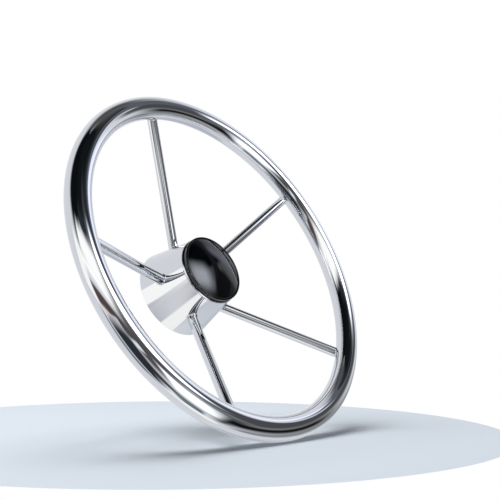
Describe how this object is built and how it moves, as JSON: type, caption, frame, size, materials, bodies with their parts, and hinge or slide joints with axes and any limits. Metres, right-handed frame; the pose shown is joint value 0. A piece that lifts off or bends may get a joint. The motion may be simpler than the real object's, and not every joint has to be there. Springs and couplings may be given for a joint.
{
  "type": "boat steering wheel",
  "caption": "Dished stainless boat steering wheel with rod spokes, a cone hub bored for a tapered keyed shaft and a black push-in cap over the shaft nut.",
  "frame": {"origin": "on the shaft's axis, in the rear face of the hub boss, where the shaft's taper enters", "axes": "+Y runs along the shaft, out of the hub's back; the driver's side faces -Y; +Z runs along the spoke that stands straight up"},
  "size_m": [0.343, 0.0906, 0.343],
  "materials": {
    "polished_stainless": "mirror polished stainless steel",
    "plain_stainless": "plain pressed stainless sheet",
    "machined_stainless": "turned stainless steel",
    "black_gloss": "black gloss moulding",
    "seal_rubber": "black rubber ring"
  },
  "bodies": {
    "wheel": {"rim": "polished_stainless", "spoke_1": "polished_stainless", "spoke_2": "polished_stainless", "spoke_3": "polished_stainless", "spoke_4": "polished_stainless", "spoke_5": "polished_stainless", "hub_shell": "polished_stainless", "hub_plate": "plain_stainless", "hub_boss": "machined_stainless", "flat_washer": "machined_stainless", "lock_washer": "machined_stainless", "shaft_nut": "machined_stainless"},
    "cap": {"cap": "black_gloss", "cap_seal": "seal_rubber"}
  },
  "joints": [
    {"name": "cap_pull", "type": "slide", "parent": "wheel", "child": "cap", "axis": [0, -1, 0], "range_m": [0, 0.06]}
  ]
}
